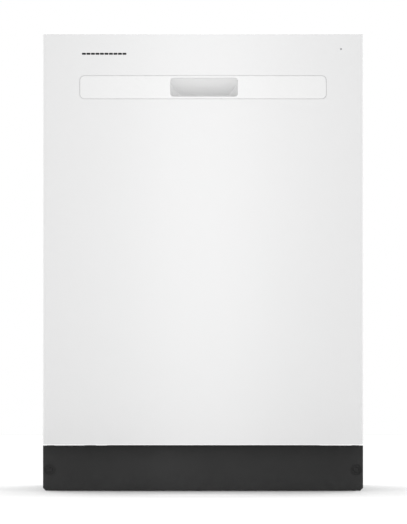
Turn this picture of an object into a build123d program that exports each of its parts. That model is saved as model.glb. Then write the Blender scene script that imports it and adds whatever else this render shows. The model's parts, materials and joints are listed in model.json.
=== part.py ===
"""A 24 inch built-in dishwasher: tub, base frame, hinged door, racks, spray arms, sump, pumps and fittings.

Millimetres. +Z is up, -Y is the front (the door's face) and +X is the right-hand side seen from the front.
The origin is on the floor, at the centre of the overall width and depth. The door is closed and the racks
are in.
Each function makes one node, and the table at the end names the nodes and writes them.
"""

from build123d import *

import math
import os

# ---------------------------------------------------------------- overall size
WIDTH = 606.0
HEIGHT = 866.0
DEPTH = 622.0
HALF = WIDTH / 2
FRONT = -DEPTH / 2
BACK = DEPTH / 2

# ---------------------------------------------------------------- door
SKIN = 1.2  # thickness of the door's steel skin
SKIN_Y = FRONT + 0.8  # front face of the skin; the handle insert stands proud of it
SKIN_BACK = SKIN_Y + SKIN
DOOR_TOP = HEIGHT - 1.0
DOOR_BOTTOM = 87.3
SKIN_DEPTH = 30.0  # how far the skin's side flanges reach back
SKIN_HEM = 11.5  # how far its bottom flange reaches back
SKIN_EDGE_LOW = 1.4
SKIN_EDGE_HIGH = 2.5
HINGE_Y = FRONT + 25.0
HINGE_Z = 118.0
LINER_Y = FRONT + 55.0  # the liner's face on the tub side
LINER_HALF = HALF - SKIN - 0.8
LINER_WALL = 2.5
LINER_FRONT = FRONT + 11.0
LINER_BOTTOM = 113.0
LINER_TOP = 852.0
RECESS_DEPTH = 16.0  # the dished middle of the liner
RECESS_HALF = 244.0
RECESS_Z = (176.0, 806.0)

# front details, all on the door's face
INSERT_SIZE = (465.0, 43.2)
INSERT_Z = 763.2
INSERT_CORNER = 8.5
POCKET_SIZE = (127.0, 35.0)
POCKET_X = 1.9
POCKET_PLAN = 24.0  # plan radius of the pocket's back corners
POCKET_DEPTH = 33.0
VENT_Z = 826.4
VENT_LEFT = -228.5
VENT_PITCH = 8.5
VENT_SLOT = (7.3, 3.6)
VENT_COUNT = 10
LIGHT_X = 260.5
LIGHT_Z = 835.5

# ---------------------------------------------------------------- tub
TUB_FRONT = FRONT + 59.0
TUB_HALF = 282.0
TUB_WALL = 3.0
TUB_BACK = 290.0
TUB_TOP = 832.0
TUB_FLOOR = 125.0  # underside of the floor
TUB_IN = TUB_HALF - TUB_WALL
FLANGE_HALF = 292.0
FLANGE = 5.0
FLANGE_Z = (120.0, 858.0)
MOUTH_Z = (148.0, 822.0)
LEDGE_HALF = 256.0  # the tub is narrower below the wheel ledges
LEDGE_Z = 148.0
CENTRE_Y = 15.0  # the wash axis: sump, tower and lower spray arm
WELL_R = 105.0
WELL_Z = 104.0
SUMP_R = 98.0

# ---------------------------------------------------------------- frame and feet
FRAME_IN = 293.0  # inner face of the side frames
SHEET = 2.0
LEG_X = 262.0
LEG_Y = (-228.0, 290.0)
LEG_R = 5.0
RUNNING = 0.06  # radial clearance of a running fit
KICK_Y = FRONT + 60.0
KICK_Z = (0.4, 85.8)
KICK_SHEET = 1.5
KICK_SCREW = (HALF - 13.2, 40.0)
KICK_RETURN = 4.0  # depth of the folded edges
KICK_DIMPLE = 5.0  # depth of the dimples that the screws sit in
BRACKET_X = 225.0
BRACKET_Y = -234.5
BRACKET_HOLE = 2.75

# ---------------------------------------------------------------- pumps and filter
PUMP_Z = 76.0
VOLUTE = (SUMP_R + 18.0, SUMP_R + 52.0)
FILTER_CENTRE = (44.0, -19.0)
FILTER_R = 30.0
FLOAT = (170.0, -205.0)
FEED_Y = 165.0  # where the wash hose comes up through the tub's floor

# ---------------------------------------------------------------- racks
WIRE = 2.0
RIM = 2.6
WELD = 0.02  # gap left between crossing wires
LOWER_X = 246.0
LOWER_Y = (-232.0, 244.0)
LOWER_Z = 170.0
LOWER_RIM_Z = 292.0
WHEEL_R = 17.0
WHEEL_Z = LEDGE_Z + 0.3 + WHEEL_R
WHEEL_Y = (-180.0, 190.0)
WHEEL_INNER = 259.0
AXLE_R = 3.0
FOLD_Y = 150.0
FOLD_Z = 178.3
TINE = 95.0
UPPER_X = 240.0
UPPER_Y = (-230.0, 232.0)
UPPER_Z = 492.0
UPPER_RIM_Z = 600.0
RAIL_Z = (548.0, 572.0)
RAIL_X = (262.0, 272.0)
RAIL_Y = (-236.0, 250.0)
ARM_Y = 5.0  # axis of the upper spray arm

# ---------------------------------------------------------------- controls
BUTTON_Y = -278.0
BUTTON_SIZE = (24.0, 11.0)
BUTTON_X = (70.0, 120.0, 170.0, 220.0)
BUTTON_NAMES = ("button_power", "button_cycle", "button_heated_dry", "button_start")


# ================================================================ helpers
def block(x, y, z):
    """A box from its low and high limits along each axis."""
    middle = [sum(pair) / 2 for pair in (x, y, z)]
    size = [pair[1] - pair[0] for pair in (x, y, z)]
    return Pos(*middle) * Box(*size)


def plate(x, y, z, radius):
    """A plate that faces the front, with rounded corners seen from the front."""
    plane = Plane(origin=(sum(x) / 2, y[0], sum(z) / 2), x_dir=(1, 0, 0), z_dir=(0, -1, 0))
    return extrude(plane * RectangleRounded(x[1] - x[0], z[1] - z[0], radius), -(y[1] - y[0]))


def rod(start, end, radius):
    """A straight round bar between two points."""
    run = Vector(*end) - Vector(*start)
    return extrude(Plane(origin=start, z_dir=run) * Circle(radius), run.length)


def tube(start, end, radius, bore):
    """A straight pipe between two points."""
    return rod(start, end, radius) - rod(start, end, bore)


def wire(points, radius, bend):
    """A round wire bent through points."""
    path = FilletPolyline(*points, radius=bend)
    return sweep(Plane(origin=path @ 0, z_dir=path % 0) * Circle(radius), path=path)


def hose(points, radius, bore, bend):
    """A hose bent through points, hollow all the way."""
    path = FilletPolyline(*points, radius=bend)
    plane = Plane(origin=path @ 0, z_dir=path % 0)
    return sweep(plane * (Circle(radius) - Circle(bore)), path=path)


def runs_and_bends(path, radius):
    """A wire as its straight runs and its bends, each a solid of its own, a hair apart."""
    solids = []
    for edge in path.edges():
        start, end = edge @ 0, edge @ 1
        if edge.geom_type == GeomType.LINE:
            gap = (end - start).normalized() * WELD
            solids.append(rod(start + gap, end - gap, radius))
        else:
            solids.append(sweep(Plane(origin=start, z_dir=edge % 0) * Circle(radius), path=edge))
    return solids


def rack_wire(points, radius, bend):
    return runs_and_bends(FilletPolyline(*points, radius=bend), radius)


def ring(x, y, z, radius, corner):
    """A closed rack wire, level, round a rectangle with rounded corners."""
    plane = Plane(origin=(sum(x) / 2, sum(y) / 2, z))
    return runs_and_bends((plane * RectangleRounded(x[1] - x[0], y[1] - y[0], corner)).wire(), radius)


def profile_x(points, x):
    """A side outline, given as (y, z) points, extruded between two x positions."""
    face = make_face(Polyline(*[(x[0], y, z) for y, z in points], close=True))
    return extrude(face, x[1] - x[0], dir=(1, 0, 0))


def both(shape):
    """A left-hand piece and its mirror image, as two solids."""
    return group(shape, mirror(shape, about=Plane.YZ))


def group(*shapes):
    """Separate solids in one node."""
    return Compound([solid for shape in shapes for solid in shape.solids()])


def span(low, high, count):
    """Evenly spaced positions, ends included."""
    return [low + (high - low) * i / (count - 1) for i in range(count)]


# ================================================================ tub and what is fixed to it
def tub():
    """One moulded tub: walls, wheel ledges, front flange, sump well and stiffening beads."""
    step = LEDGE_Z + 30
    outer = plate((-TUB_HALF, TUB_HALF), (TUB_FRONT, TUB_BACK), (LEDGE_Z - TUB_WALL, TUB_TOP), 30)
    lower = (LEDGE_HALF + TUB_WALL, LEDGE_HALF)
    outer += plate((-TUB_HALF, TUB_HALF), (TUB_FRONT, TUB_BACK), (LEDGE_Z - TUB_WALL, step * 2), 8)
    outer += plate((-lower[0], lower[0]), (TUB_FRONT, TUB_BACK), (TUB_FLOOR, step), 12)
    outer = fillet(outer.faces().sort_by(Axis.Y)[-1].edges(), 8)
    flange = plate((-FLANGE_HALF, FLANGE_HALF), (TUB_FRONT, TUB_FRONT + FLANGE), FLANGE_Z, 20)
    for side in (-1, 1):
        corner = sorted((side * TUB_HALF, side * (HALF + 5)))
        flange -= block(corner, (TUB_FRONT - 1, TUB_FRONT + 10), (FLANGE_Z[0] - 1, 150))
    inside = plate((-TUB_IN, TUB_IN), (TUB_FRONT + FLANGE, TUB_BACK - TUB_WALL),
                   (LEDGE_Z, TUB_TOP - TUB_WALL), 27)
    inside += plate((-TUB_IN, TUB_IN), (TUB_FRONT + FLANGE, TUB_BACK - TUB_WALL), (LEDGE_Z, step * 2), 5)
    inside += plate((-lower[1], lower[1]), (TUB_FRONT + FLANGE, TUB_BACK - TUB_WALL),
                    (TUB_FLOOR + TUB_WALL, step), 9)
    inside = fillet(inside.faces().sort_by(Axis.Y)[-1].edges(), 5)
    mouth_y = (TUB_FRONT - 1, TUB_FRONT + FLANGE + 1)
    mouth = plate((-TUB_IN + 3, TUB_IN - 3), mouth_y, MOUTH_Z, 24)
    mouth += plate((-TUB_IN + 3, TUB_IN - 3), mouth_y, (MOUTH_Z[0], step), 3)
    up = (Align.CENTER, Align.CENTER, Align.MIN)
    depth = TUB_FLOOR - WELL_Z + TUB_WALL + 1
    well = Pos(0, CENTRE_Y, WELL_Z - TUB_WALL) * Cylinder(WELL_R + TUB_WALL, depth, align=up)
    bowl = Pos(0, CENTRE_Y, WELL_Z) * Cylinder(WELL_R, 30, align=up)
    drain = Pos(0, CENTRE_Y, WELL_Z - 10) * Cylinder(SUMP_R, 30)
    body = outer + flange + well - inside - mouth - bowl - drain
    bead = 4.0
    for z in (230, 300, 370, 440, 660, 720, 780):
        for side in (-1, 1):
            x = side * (TUB_IN + bead / 2)
            body += rod((x, -225, z), (x, 265, z), bead) & block((-TUB_HALF, TUB_HALF), (-240, 280), (0, 900))
    for x in (-190, -130, -70, 70, 130, 190):
        y = TUB_BACK - TUB_WALL + bead / 2
        body += rod((x, y, 200), (x, y, 790), bead) & block((-300, 300), (200, TUB_BACK), (0, 900))
    for x in (-35, 35):
        body -= rod((x, 205, 110), (x, 205, 135), 5.5)
    body -= rod((*FLOAT, 110), (*FLOAT, 135), 6 + RUNNING)
    body -= rod((0, FEED_Y, 110), (0, FEED_Y, 135), 8.5)
    body -= rod((-265, 60, 137), (-250, 60, 137), 8.0)
    return body


def tub_seals():
    """The U-shaped door seal on the tub's flange and the flat strip under the mouth."""
    y = (LINER_Y + 0.2, TUB_FRONT)
    seal = plate((-290, 290), y, (100, 838), 18) - plate((-281, 281), (y[0] - 1, y[1] + 1), (90, 829), 12)
    seal -= block((-HALF, HALF), (y[0] - 1, y[1] + 1), (80, 151))
    return group(seal, block((-276, 276), y, (128, 142)))


def insulation_wrap():
    """Sound-deadening blanket over the tub's sides and top, and a flat mat on its back."""
    thick = 8.0
    y = (-214, 286)
    low, high = TUB_HALF + 0.5, TUB_HALF + 0.5 + thick
    wrap = plate((-high, high), y, (90, TUB_TOP + 0.5 + thick), 38)
    wrap -= plate((-low, low), (y[0] - 1, y[1] + 1), (80, TUB_TOP + 0.5), 30.5)
    wrap -= block((-300, 300), (y[0] - 1, y[1] + 1), (80, 160))
    mat = plate((-262, 262), (TUB_BACK + 0.5, TUB_BACK + 0.5 + thick), (165, 815), 20)
    return group(wrap, mat)


def side_frames():
    """Bent sheet side frames, each with a hinge ear, windows, foot flange, kick-plate and spring tabs."""
    ear = (HINGE_Y, HINGE_Z)
    outline = [
        (ear[0], ear[1] - 12), (-247, 106), (-246, 30), (BACK, 30), (BACK, 250), (270, 250),
        (246, 158), (-196, 158), (-214, 250), (-246, 250), (-246, 130), (ear[0], ear[1] + 12),
    ]
    x = (FRAME_IN, FRAME_IN + SHEET)
    frame = profile_x(outline, x) + rod((x[0], *ear), (x[1], *ear), 12)
    for y in ((-190, -70), (-10, 110), (150, 240)):
        window = Plane(origin=(x[0] - 1, sum(y) / 2, 95), x_dir=(0, 1, 0), z_dir=(1, 0, 0))
        frame -= extrude(window * RectangleRounded(y[1] - y[0], 70, 14), SHEET + 2)
    frame -= rod((x[0] - 1, *ear), (x[1] + 1, *ear), 4.0)
    frame += block((272, x[1]), (-246, BACK), (28, 30))
    tab_front = KICK_Y + KICK_DIMPLE + KICK_SHEET
    tab_y = (tab_front, tab_front + 2)
    frame -= block((270, x[1] + 1), (-250, tab_front), (27, 54))
    tab = block((284, x[1]), tab_y, (28, 56))
    screw = KICK_SCREW
    tab -= rod((screw[0], tab_y[0] - 1, screw[1]), (screw[0], tab_y[1] + 1, screw[1]), 2.45)
    anchor = block((282, x[1]), (-18, -16), (50, 69))
    anchor -= rod((SPRING_X, -30, 60), (SPRING_X, -10, 60), 2.0)
    return both(frame + tab + anchor)


def crossmember(y, web_y, leg_y, top):
    """A bent channel between the side frames that holds two levelling legs."""
    x = (-284, 284)
    shape = block(x, y, (30, 32)) + block(x, web_y, (30, top))
    lip = (web_y[0], web_y[0] + 14) if web_y[0] < 0 else (web_y[1] - 14, web_y[1])
    shape += block(x, lip, (top - 2, top))
    for leg_x in (-LEG_X, LEG_X):
        shape += rod((leg_x, leg_y, 32), (leg_x, leg_y, 40), 9)
        shape -= rod((leg_x, leg_y, 28), (leg_x, leg_y, 45), LEG_R + RUNNING)
    return shape


def crossmembers():
    """The front channel and the lower rear one, which leaves the way free for the hose and the cable."""
    front = crossmember((-244, -212), (-244, -242), LEG_Y[0], 70)
    return group(front, crossmember((275, BACK), (BACK - 2, BACK), LEG_Y[1], 44))


def levelling_leg(x, y):
    """A screwed leg: round foot pad, hexagon for the spanner and threaded stem."""
    leg = rod((x, y, 0), (x, y, 6), 19)
    leg = fillet(leg.edges().group_by(Axis.Z)[-1], 2)
    hexagon = Plane(origin=(x, y, 6)) * RegularPolygon(9, 6)
    leg += extrude(hexagon, 8)
    leg += rod((x, y, 14), (x, y, 62), LEG_R)
    return chamfer(leg.faces().sort_by(Axis.Z)[-1].edges(), 1)


def kick_plate():
    """Folded toe-kick panel with a dimple at each end, and the two screws that hold it."""
    y = (KICK_Y, KICK_Y + KICK_SHEET)
    panel = block((-HALF, HALF), y, KICK_Z)
    low = [e for e in panel.edges().filter_by(Axis.Y) if e.center().Z < KICK_Z[0] + 1]
    panel = chamfer(low, 5)
    panel += block((-HALF, HALF), (y[0], y[0] + KICK_RETURN), (KICK_Z[1] - KICK_SHEET, KICK_Z[1]))
    for side in (-1, 1):
        edge = sorted((side * HALF, side * (HALF - KICK_SHEET)))
        panel += block(edge, (y[0], y[0] + KICK_RETURN), (KICK_Z[0] + 5, KICK_Z[1]))
        x, z = side * KICK_SCREW[0], KICK_SCREW[1]
        panel += rod((x, y[0], z), (x, y[1] + KICK_DIMPLE, z), 11.9)
        panel -= rod((x, y[0] - 1, z), (x, y[0] + KICK_DIMPLE, z), 10.6)
        panel -= rod((x, y[0], z), (x, y[1] + KICK_DIMPLE + 1, z), 2.6)
    front_edges = panel.faces().sort_by(Axis.Y)[0].outer_wire().edges().filter_by(Axis.X)
    return group(fillet(front_edges, 1.2), kick_screws())


def kick_screws():
    """The kick plate's two cross-head screws."""
    x, z = KICK_SCREW
    seat = KICK_Y + KICK_DIMPLE
    screw = rod((x, seat - 2.4, z), (x, seat, z), 5.0)
    screw = fillet(screw.faces().sort_by(Axis.Y)[0].edges(), 1.2)
    screw += rod((x, seat, z), (x, seat + 12, z), 2.4)
    for size in ((5.6, 1.1), (1.1, 5.6)):
        screw -= block((x - size[0] / 2, x + size[0] / 2), (seat - 3, seat - 1),
                       (z - size[1] / 2, z + size[1] / 2))
    return both(screw)


def counter_brackets():
    """Two steel tabs that screw up into the worktop."""
    x = (BRACKET_X - 15, BRACKET_X + 15)
    back = TUB_FRONT + FLANGE
    shape = block(x, (back, back + 30), (TUB_TOP, TUB_TOP + 1.5))
    shape += block(x, (back, back + 1.5), (TUB_TOP, HEIGHT))
    shape += block(x, (back, back + 26), (HEIGHT - 1.5, HEIGHT))
    shape -= rod((BRACKET_X, BRACKET_Y, HEIGHT - 5), (BRACKET_X, BRACKET_Y, HEIGHT + 5), BRACKET_HOLE)
    return both(shape)


def latch_strike():
    """Plate with a bent loop that the door's latch hook catches."""
    z = 844.0
    base = plate((-20, 20), (TUB_FRONT - 2, TUB_FRONT), (z - 4.5, z + 9), 3)
    reach = TUB_FRONT - 2
    loop = wire([(-11, reach, z), (-11, reach - 29, z), (11, reach - 29, z), (11, reach, z)], 2.5, 5)
    return base + loop


# ================================================================ sump, wash system and plumbing
def sump():
    """The bowl under the tub, the tower that carries the lower spray arm, and the tower's cap."""
    up = (Align.CENTER, Align.CENTER, Align.MIN)
    bowl = Pos(0, CENTRE_Y, 54) * Cylinder(SUMP_R - 0.1, WELL_Z - 54, align=up)
    bowl = fillet(bowl.edges().group_by(Axis.Z)[0], 10)
    bowl -= Pos(0, CENTRE_Y, 58) * Cylinder(SUMP_R - 4, 60, align=up)
    bowl += Pos(0, CENTRE_Y, 97) * (Cylinder(112, 4, align=up) - Cylinder(SUMP_R - 0.2, 4, align=up))
    bowl += tube((SUMP_R - 4, CENTRE_Y, 76), (SUMP_R + 7, CENTRE_Y, 76), 17, 13)
    bowl -= rod((60, CENTRE_Y, 76), (SUMP_R + 1, CENTRE_Y, 76), 13)
    bowl += tube((-SUMP_R - 7, CENTRE_Y, 76), (-SUMP_R + 4, CENTRE_Y, 76), 13, 10)
    bowl -= rod((-SUMP_R - 1, CENTRE_Y, 76), (-60, CENTRE_Y, 76), 10)
    tower = Pos(0, CENTRE_Y, 58) * Cylinder(16, 88, align=up)
    tower += Pos(0, CENTRE_Y, 146) * Cylinder(12, 15.3, align=up)
    tower -= Pos(0, CENTRE_Y, 62) * Cylinder(9, 110, align=up)
    cap = Pos(0, CENTRE_Y, 161.3 + WELD) * Cylinder(16, 4.5, align=up)
    cap = fillet(cap.edges().group_by(Axis.Z)[-1], 2)
    return group(bowl + tower, cap)


def filter_plate():
    """Perforated coarse filter over the well, with holes for the tower and the filter cup."""
    up = (Align.CENTER, Align.CENTER, Align.MIN)
    disc = Pos(0, CENTRE_Y, WELL_Z + 0.1) * Cylinder(WELL_R - 0.5, 2.4, align=up)
    disc -= Pos(0, CENTRE_Y, WELL_Z - 2) * Cylinder(16.4, 8, align=up)
    x, y = FILTER_CENTRE
    disc -= Pos(x, y, WELL_Z - 2) * Cylinder(FILTER_R + RUNNING, 8, align=up)
    holes = []
    for radius, count in ((32, 14), (46, 22), (60, 28), (74, 34), (88, 40)):
        for i in range(count):
            angle = 2 * math.pi * i / count
            hx, hy = radius * math.cos(angle), CENTRE_Y + radius * math.sin(angle)
            if math.hypot(hx - x, hy - y) > FILTER_R + 6:
                holes.append(Pos(hx, hy, WELL_Z + 1) * Cylinder(2.0, 8))
    return disc - holes


def filter_cylinder():
    """Twist-out fine filter: ribbed cup with an arched grip."""
    x, y = FILTER_CENTRE
    up = (Align.CENTER, Align.CENTER, Align.MIN)
    cup = Pos(x, y, 62) * Cylinder(FILTER_R, 50, align=up)
    cup -= Pos(x, y, 64.5) * Cylinder(FILTER_R - 2.5, 60, align=up)
    for i in range(12):
        angle = math.radians(30 * i)
        cx, cy = x + FILTER_R * math.cos(angle), y + FILTER_R * math.sin(angle)
        turn = Pos(cx, cy, 84) * Rot(0, 0, math.degrees(angle))
        cup -= turn * Box(8, 8, 28)
    grip = Pos(x, y, 112) * Box(2 * FILTER_R - 1, 7, 16, align=up)
    grip -= Pos(x, y, 111) * Box(38, 9, 11, align=up)
    grip &= Pos(x, y, 100) * Cylinder(FILTER_R, 40, align=up)
    return cup + grip


def heater_element():
    """Tubular heating loop on the tub floor, with its two terminals through the floor."""
    z = 137.5
    back, front, side, gap = 205, -150, 190, 35
    path = [(-gap, back, 100), (-gap, back, z), (-side, back, z), (-side, front, z), (side, front, z),
            (side, back, z), (gap, back, z), (gap, back, 100)]
    radii = [14, 45, 45, 45, 45, 14]
    route = FilletPolyline(*path, radius=radii)
    nuts = [rod((x, back, TUB_FLOOR - 10), (x, back, TUB_FLOOR), 11) - rod((x, back, 90), (x, back, 130), 4.1)
            for x in (-gap, gap)]
    return group(*runs_and_bends(route, 4), *nuts)


def feed_tube():
    """Flat water duct from the tower, up the back wall to the ceiling, with the rack's docking port."""
    floor, wall, top = TUB_FLOOR + TUB_WALL + 0.5, TUB_BACK - TUB_WALL, TUB_TOP - TUB_WALL
    duct = block((-20, 20), (FEED_Y - 18, wall - 3), (floor, floor + 12))
    duct += block((-20, 20), (wall - 17, wall - 3), (floor, top - 3))
    duct += block((-20, 20), (45, wall - 3), (top - 17, top - 3))
    duct = fillet(duct.edges().filter_by(Axis.X), 4)
    duct += rod((0, FEED_Y, 117), (0, FEED_Y, floor + 2), 7.9)
    duct -= rod((0, FEED_Y, 116), (0, FEED_Y, floor + 6), 5.5)
    port_z = UPPER_Z - 10
    duct += rod((0, wall - 17, port_z), (0, 252, port_z), 13)
    duct -= rod((0, 270, port_z), (0, 250, port_z), 9)
    up = (Align.CENTER, Align.CENTER, Align.MIN)
    spray = Pos(0, 60, top - 26) * Cylinder(42, 8.9, align=up)
    spray = fillet(spray.edges().group_by(Axis.Z)[0], 3)
    for i in range(12):
        angle = math.radians(30 * i)
        spray -= Pos(30 * math.cos(angle), 60 + 30 * math.sin(angle), top - 28) * Cylinder(2, 6, align=up)
    return duct + spray


def two_blades(centre_y, low, high, root, tip, middle):
    """Two tapered blades, end to end about a hub, each the hull of two circles."""
    outline = make_hull([*Circle(root).edges(), *(Pos(middle, 0) * Circle(tip)).edges()])
    blade = extrude(outline, high - low)
    return Pos(0, centre_y, low) * (blade + Rot(0, 0, 180) * blade)


def spray_arm(centre_y, low, high, reach, bore):
    """A flat, hollow two-bladed arm with a hub bore and nozzles along its top."""
    root, tip, wall = 36.0, 22.0, 2.0
    arm = two_blades(centre_y, low, high, root, tip, reach - tip)
    rim = arm.edges().group_by(Axis.Z)
    arm = fillet([*rim[0], *rim[-1]], 3.5)
    arm -= two_blades(centre_y, low + wall, high - wall, root - 3 * wall, tip - 3 * wall, reach - tip)
    arm += rod((0, centre_y, low), (0, centre_y, high), bore + 5)
    arm -= rod((0, centre_y, low - 1), (0, centre_y, high + 1), bore)
    nozzles = []
    for i, distance in enumerate(span(60, 200, 5)):
        for side in (-1, 1):
            across = centre_y + side * (4 + (i % 2) * 5)
            nozzles.append(Pos(side * distance, across, high) * Rot(0, 0, 25 * side) * Box(9, 2.6, 8))
    return arm - nozzles


def lower_spray_arm():
    return spray_arm(CENTRE_Y, 147.5, 161.0, 236, 12 + RUNNING)


def upper_spray_arm():
    return spray_arm(ARM_Y, 458.0, 471.0, 220, 8 + RUNNING)


def upper_arm_feed():
    """Pipe under the upper rack that feeds its spray arm, with the stem and cap the arm turns on."""
    z = UPPER_Z - 10
    pipe = block((-14, 14), (ARM_Y - 16, 251.5), (z - 5.5, z + 5.5))
    pipe = fillet(pipe.edges().filter_by(Axis.Y), 4)
    pipe -= block((-10, 10), (ARM_Y - 10, 260), (z - 2.5, z + 2.5))
    pipe += rod((0, ARM_Y, 471.3), (0, ARM_Y, z - 3), 15)
    pipe += rod((0, ARM_Y, 453.5), (0, ARM_Y, 472), 8)
    pipe += rod((0, ARM_Y, 453.5), (0, ARM_Y, 457.7), 13)
    pipe -= rod((0, ARM_Y, 460), (0, ARM_Y, z), 5)
    return pipe


def circulation_pump():
    """Wash pump beside the sump: the volute, hollow around its impeller, and the ribbed motor can."""
    low, high = VOLUTE
    axis = (CENTRE_Y, PUMP_Z)
    volute = rod((low, *axis), (high, *axis), 38) - rod((low + 3, *axis), (high - 3, *axis), 33)
    volute -= rod((low - 5, *axis), (low + 5, *axis), 12.9)
    volute += tube((SUMP_R + 7.1, *axis), (low, *axis), 17, 13)
    outlet = (low + 17, CENTRE_Y + 24, PUMP_Z + 26)
    volute += rod(outlet, (outlet[0], CENTRE_Y + 52, outlet[2]), 11)
    volute -= rod((outlet[0], CENTRE_Y + 10, outlet[2]), (outlet[0], CENTRE_Y + 60, outlet[2]), 8)
    volute -= rod((high - 5, *axis), (high + 5, *axis), 4.5)
    motor = rod((high + 0.1, *axis), (high + 74, *axis), 40)
    motor = fillet(motor.faces().sort_by(Axis.X)[-1].edges(), 6)
    for i in range(5):
        motor += rod((high + 14 + 10 * i, *axis), (high + 17 + 10 * i, *axis), 42)
    motor -= rod((high, *axis), (high + 19, *axis), 4.4)
    terminals = block((high + 38, high + 64), (CENTRE_Y + 36, CENTRE_Y + 52), (PUMP_Z - 10, PUMP_Z + 12))
    return group(volute, motor + terminals)


def pump_impeller():
    """Impeller disc with six vanes on its shaft."""
    back = VOLUTE[1] - 7
    axis = (CENTRE_Y, PUMP_Z)
    wheel = rod((back - 3, *axis), (back, *axis), 29) + rod((back - 17, *axis), (back, *axis), 8)
    for i in range(6):
        wheel += Pos(back - 9.5, *axis) * Rot(60 * i, 0, 0) * Pos(0, 0, 17) * Box(13, 2.5, 22)
    return wheel + rod((back, *axis), (back + 25, *axis), 4.4 - RUNNING)


def pump_hoses():
    """Rubber wash hose from the pump to the feed duct, and the fill hose from the inlet valve."""
    x, y, z = VOLUTE[0] + 17, CENTRE_Y + 52.1, PUMP_Z + 26
    route = [(x, y, z), (x, y + 42, z), (45, FEED_Y, z), (0, FEED_Y, z), (0, FEED_Y, TUB_FLOOR - 1)]
    wash = hose(route, 11, 8, [25, 25, 14])
    fill = hose([(-214, -168, 92), (-214, -120, 92), (-276, -60, 110), (-276, 60, 110), (-276, 60, 137),
                 (-LEDGE_HALF - 3.1, 60, 137)], 6, 4, 7)
    return group(wash, fill)


def drain_pump():
    """Drain pump beside the sump with its rigid outlet pipe to the back."""
    near, far = -SUMP_R - 18, -SUMP_R - 48
    axis = (CENTRE_Y, PUMP_Z)
    body = rod((far, *axis), (near, *axis), 25) + rod((far - 38, *axis), (far, *axis), 21)
    body += tube((near - 2, *axis), (-SUMP_R - 7.1, *axis), 13, 10)
    body += block((far - 32, far - 6), (CENTRE_Y - 16, CENTRE_Y + 16), (PUMP_Z - 28, PUMP_Z + 28))
    x, z = (near + far) / 2, PUMP_Z + 18
    route = [(x, CENTRE_Y + 10, z), (x, CENTRE_Y + 60, z), (-200, 150, z), (-200, BACK - 1, z)]
    outlet = hose(route, 10, 7.5, 22) - rod((far, *axis), (near, *axis), 25.05)
    for i in range(3):
        outlet += tube((-200, BACK - 20 + 5 * i, z), (-200, BACK - 18 + 5 * i, z), 10.6, 8)
    return group(body, outlet)


def inlet_valve():
    """Solenoid water valve with a threaded inlet that faces the back, on a bracket."""
    body = block((-236, -194), (-206, -172), (48, 78))
    body = fillet(body.edges().filter_by(Axis.Z), 3)
    body += tube((-215, -172, 60), (-215, -154, 60), 13.2, 9)
    body += rod((-214, -189, 78), (-214, -189, 92), 11)
    body += tube((-214, -180, 92), (-214, -168.1, 92), 6, 4) + rod((-214, -192, 92), (-214, -180, 92), 9)
    body += block((-240, -190), (-212, -206), (32, 82))
    return body


def junction_box():
    """Steel terminal box behind the kick plate, with a bushed cable entry and a screwed cover."""
    x, y, z = (190, 256), (-206, -140), (33, 84)
    box = block(x, y, z) - block((x[0] + 1.5, x[1] - 1.5), (y[0] - 1, y[1] - 1.5), (z[0] + 1.5, z[1] - 1.5))
    box += block((195, 248), (-238, y[1]), (32, z[0] + 1.5))
    entry = 241
    box += rod((entry, y[1], 58), (entry, y[1] + 8, 58), 15)
    box -= rod((entry, y[1] - 5, 58), (entry, y[1] + 9, 58), 11)
    cover = block(x, (y[0] - 2, y[0] - WELD), z)
    cover = fillet(cover.edges().filter_by(Axis.Y), 4)
    screw = rod((223, y[0] - 4.5, 58), (223, y[0] - 2 - WELD, 58), 4)
    return group(box, cover, screw)


def float_dome():
    """Overfill float: mushroom cap and stem that rise with the water."""
    x, y = FLOAT
    dome = rod((x, y, 131), (x, y, 150), 19)
    dome = fillet(dome.edges().group_by(Axis.Z)[-1], 6)
    dome -= rod((x, y, 130), (x, y, 145), 16)
    return dome + rod((x, y, 100), (x, y, 148), 6)


# ================================================================ racks
def basket_wires(half_x, y, z, top, across, along):
    """U-shaped wires across and along a rack, one layer on the other."""
    wires = []
    for v in across:
        wires += rack_wire([(-half_x, v, top), (-half_x, v, z), (half_x, v, z), (half_x, v, top)], WIRE, 9)
    upper = z + 2 * WIRE + WELD
    for u in along:
        wires += rack_wire([(u, y[0], top), (u, y[0], upper), (u, y[1], upper), (u, y[1], top)], WIRE, 9)
    return wires


def prong(x, y, z, height, radius=1.9):
    """A plate prong: a straight pin with a rounded tip."""
    pin = rod((x, y, z), (x, y, z + height), radius)
    return fillet(pin.edges().group_by(Axis.Z)[-1], radius * 0.9)


def tine_row(xs, y, z, height):
    """A base wire with prongs standing on it."""
    base = rod((xs[0] - 12, y, z), (xs[-1] + 12, y, z), 2.2)
    return [base] + [prong(x, y, z + 2.2 + WELD, height) for x in xs]


LOWER_ALONG = span(-210, 210, 11)
TINE_X = [(a + b) / 2 for a, b in zip(LOWER_ALONG, LOWER_ALONG[1:])]


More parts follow.
